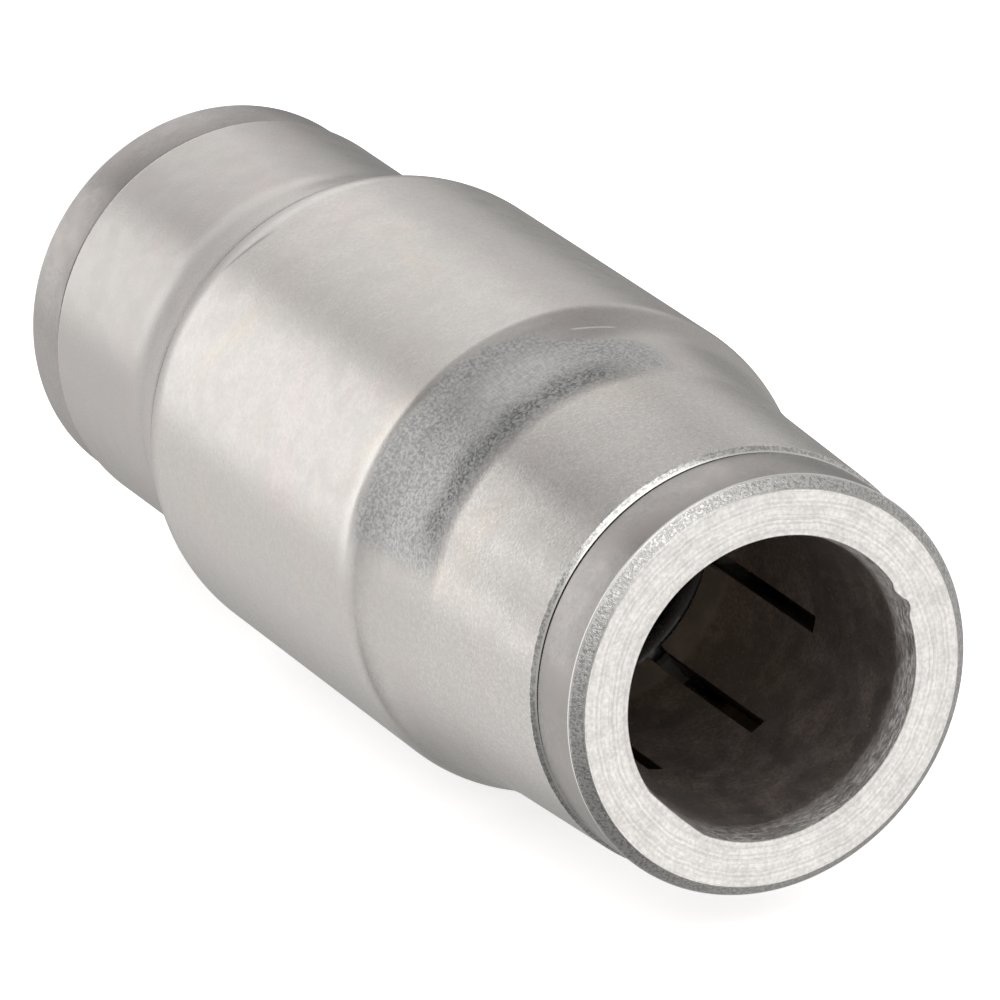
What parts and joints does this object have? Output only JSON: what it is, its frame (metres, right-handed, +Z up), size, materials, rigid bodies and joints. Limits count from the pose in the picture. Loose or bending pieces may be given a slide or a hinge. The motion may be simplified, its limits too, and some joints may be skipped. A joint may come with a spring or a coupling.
{
  "type": "push-in check valve",
  "caption": "In-line check valve for plastic tube: smooth barrel with a plain neck at each end, each neck with a sliding release collet around a round tube port.",
  "frame": {"origin": "on the valve's axis, midway between the faces of the two release buttons", "axes": "X along the valve's axis, +X towards the inlet end, where the flow comes in; +Z up when the valve lies on its side"},
  "size_m": [0.0434, 0.0172, 0.0172],
  "materials": {
    "nickel_body": "nickel-plated brass, satin, fine grain",
    "nickel_collet": "nickel-plated brass, turned face and smooth band",
    "plain_brass": "turned, dull brown with age",
    "black_rubber": "smooth, slightly glossy",
    "white_acetal": "moulded",
    "spring_steel": "drawn stainless wire"
  },
  "bodies": {
    "valve": {"valve_body": "nickel_body", "end_fitting": "nickel_body", "body_seal": "black_rubber", "front_retaining_ring": "plain_brass", "rear_retaining_ring": "plain_brass", "front_seal_washer": "white_acetal", "rear_seal_washer": "white_acetal", "front_tube_seal": "black_rubber", "rear_tube_seal": "black_rubber", "poppet_spring": "spring_steel", "poppet_guide": "white_acetal"},
    "front_collet": {"front_collet": "nickel_collet"},
    "rear_collet": {"rear_collet": "nickel_collet"},
    "poppet": {"poppet": "plain_brass", "poppet_seal": "black_rubber"}
  },
  "joints": [
    {"name": "front_collet_slide", "type": "slide", "parent": "valve", "child": "front_collet", "axis": [1, 0, 0], "range_m": [-0.00008, 0.0016]},
    {"name": "rear_collet_slide", "type": "slide", "parent": "valve", "child": "rear_collet", "axis": [-1, 0, 0], "range_m": [-0.00008, 0.0016]},
    {"name": "poppet_slide", "type": "slide", "parent": "valve", "child": "poppet", "axis": [-1, 0, 0], "range_m": [0, 0.002], "stiffness_N_per_m": 250, "springref_m": -0.004, "deforming": ["poppet_spring"]}
  ]
}
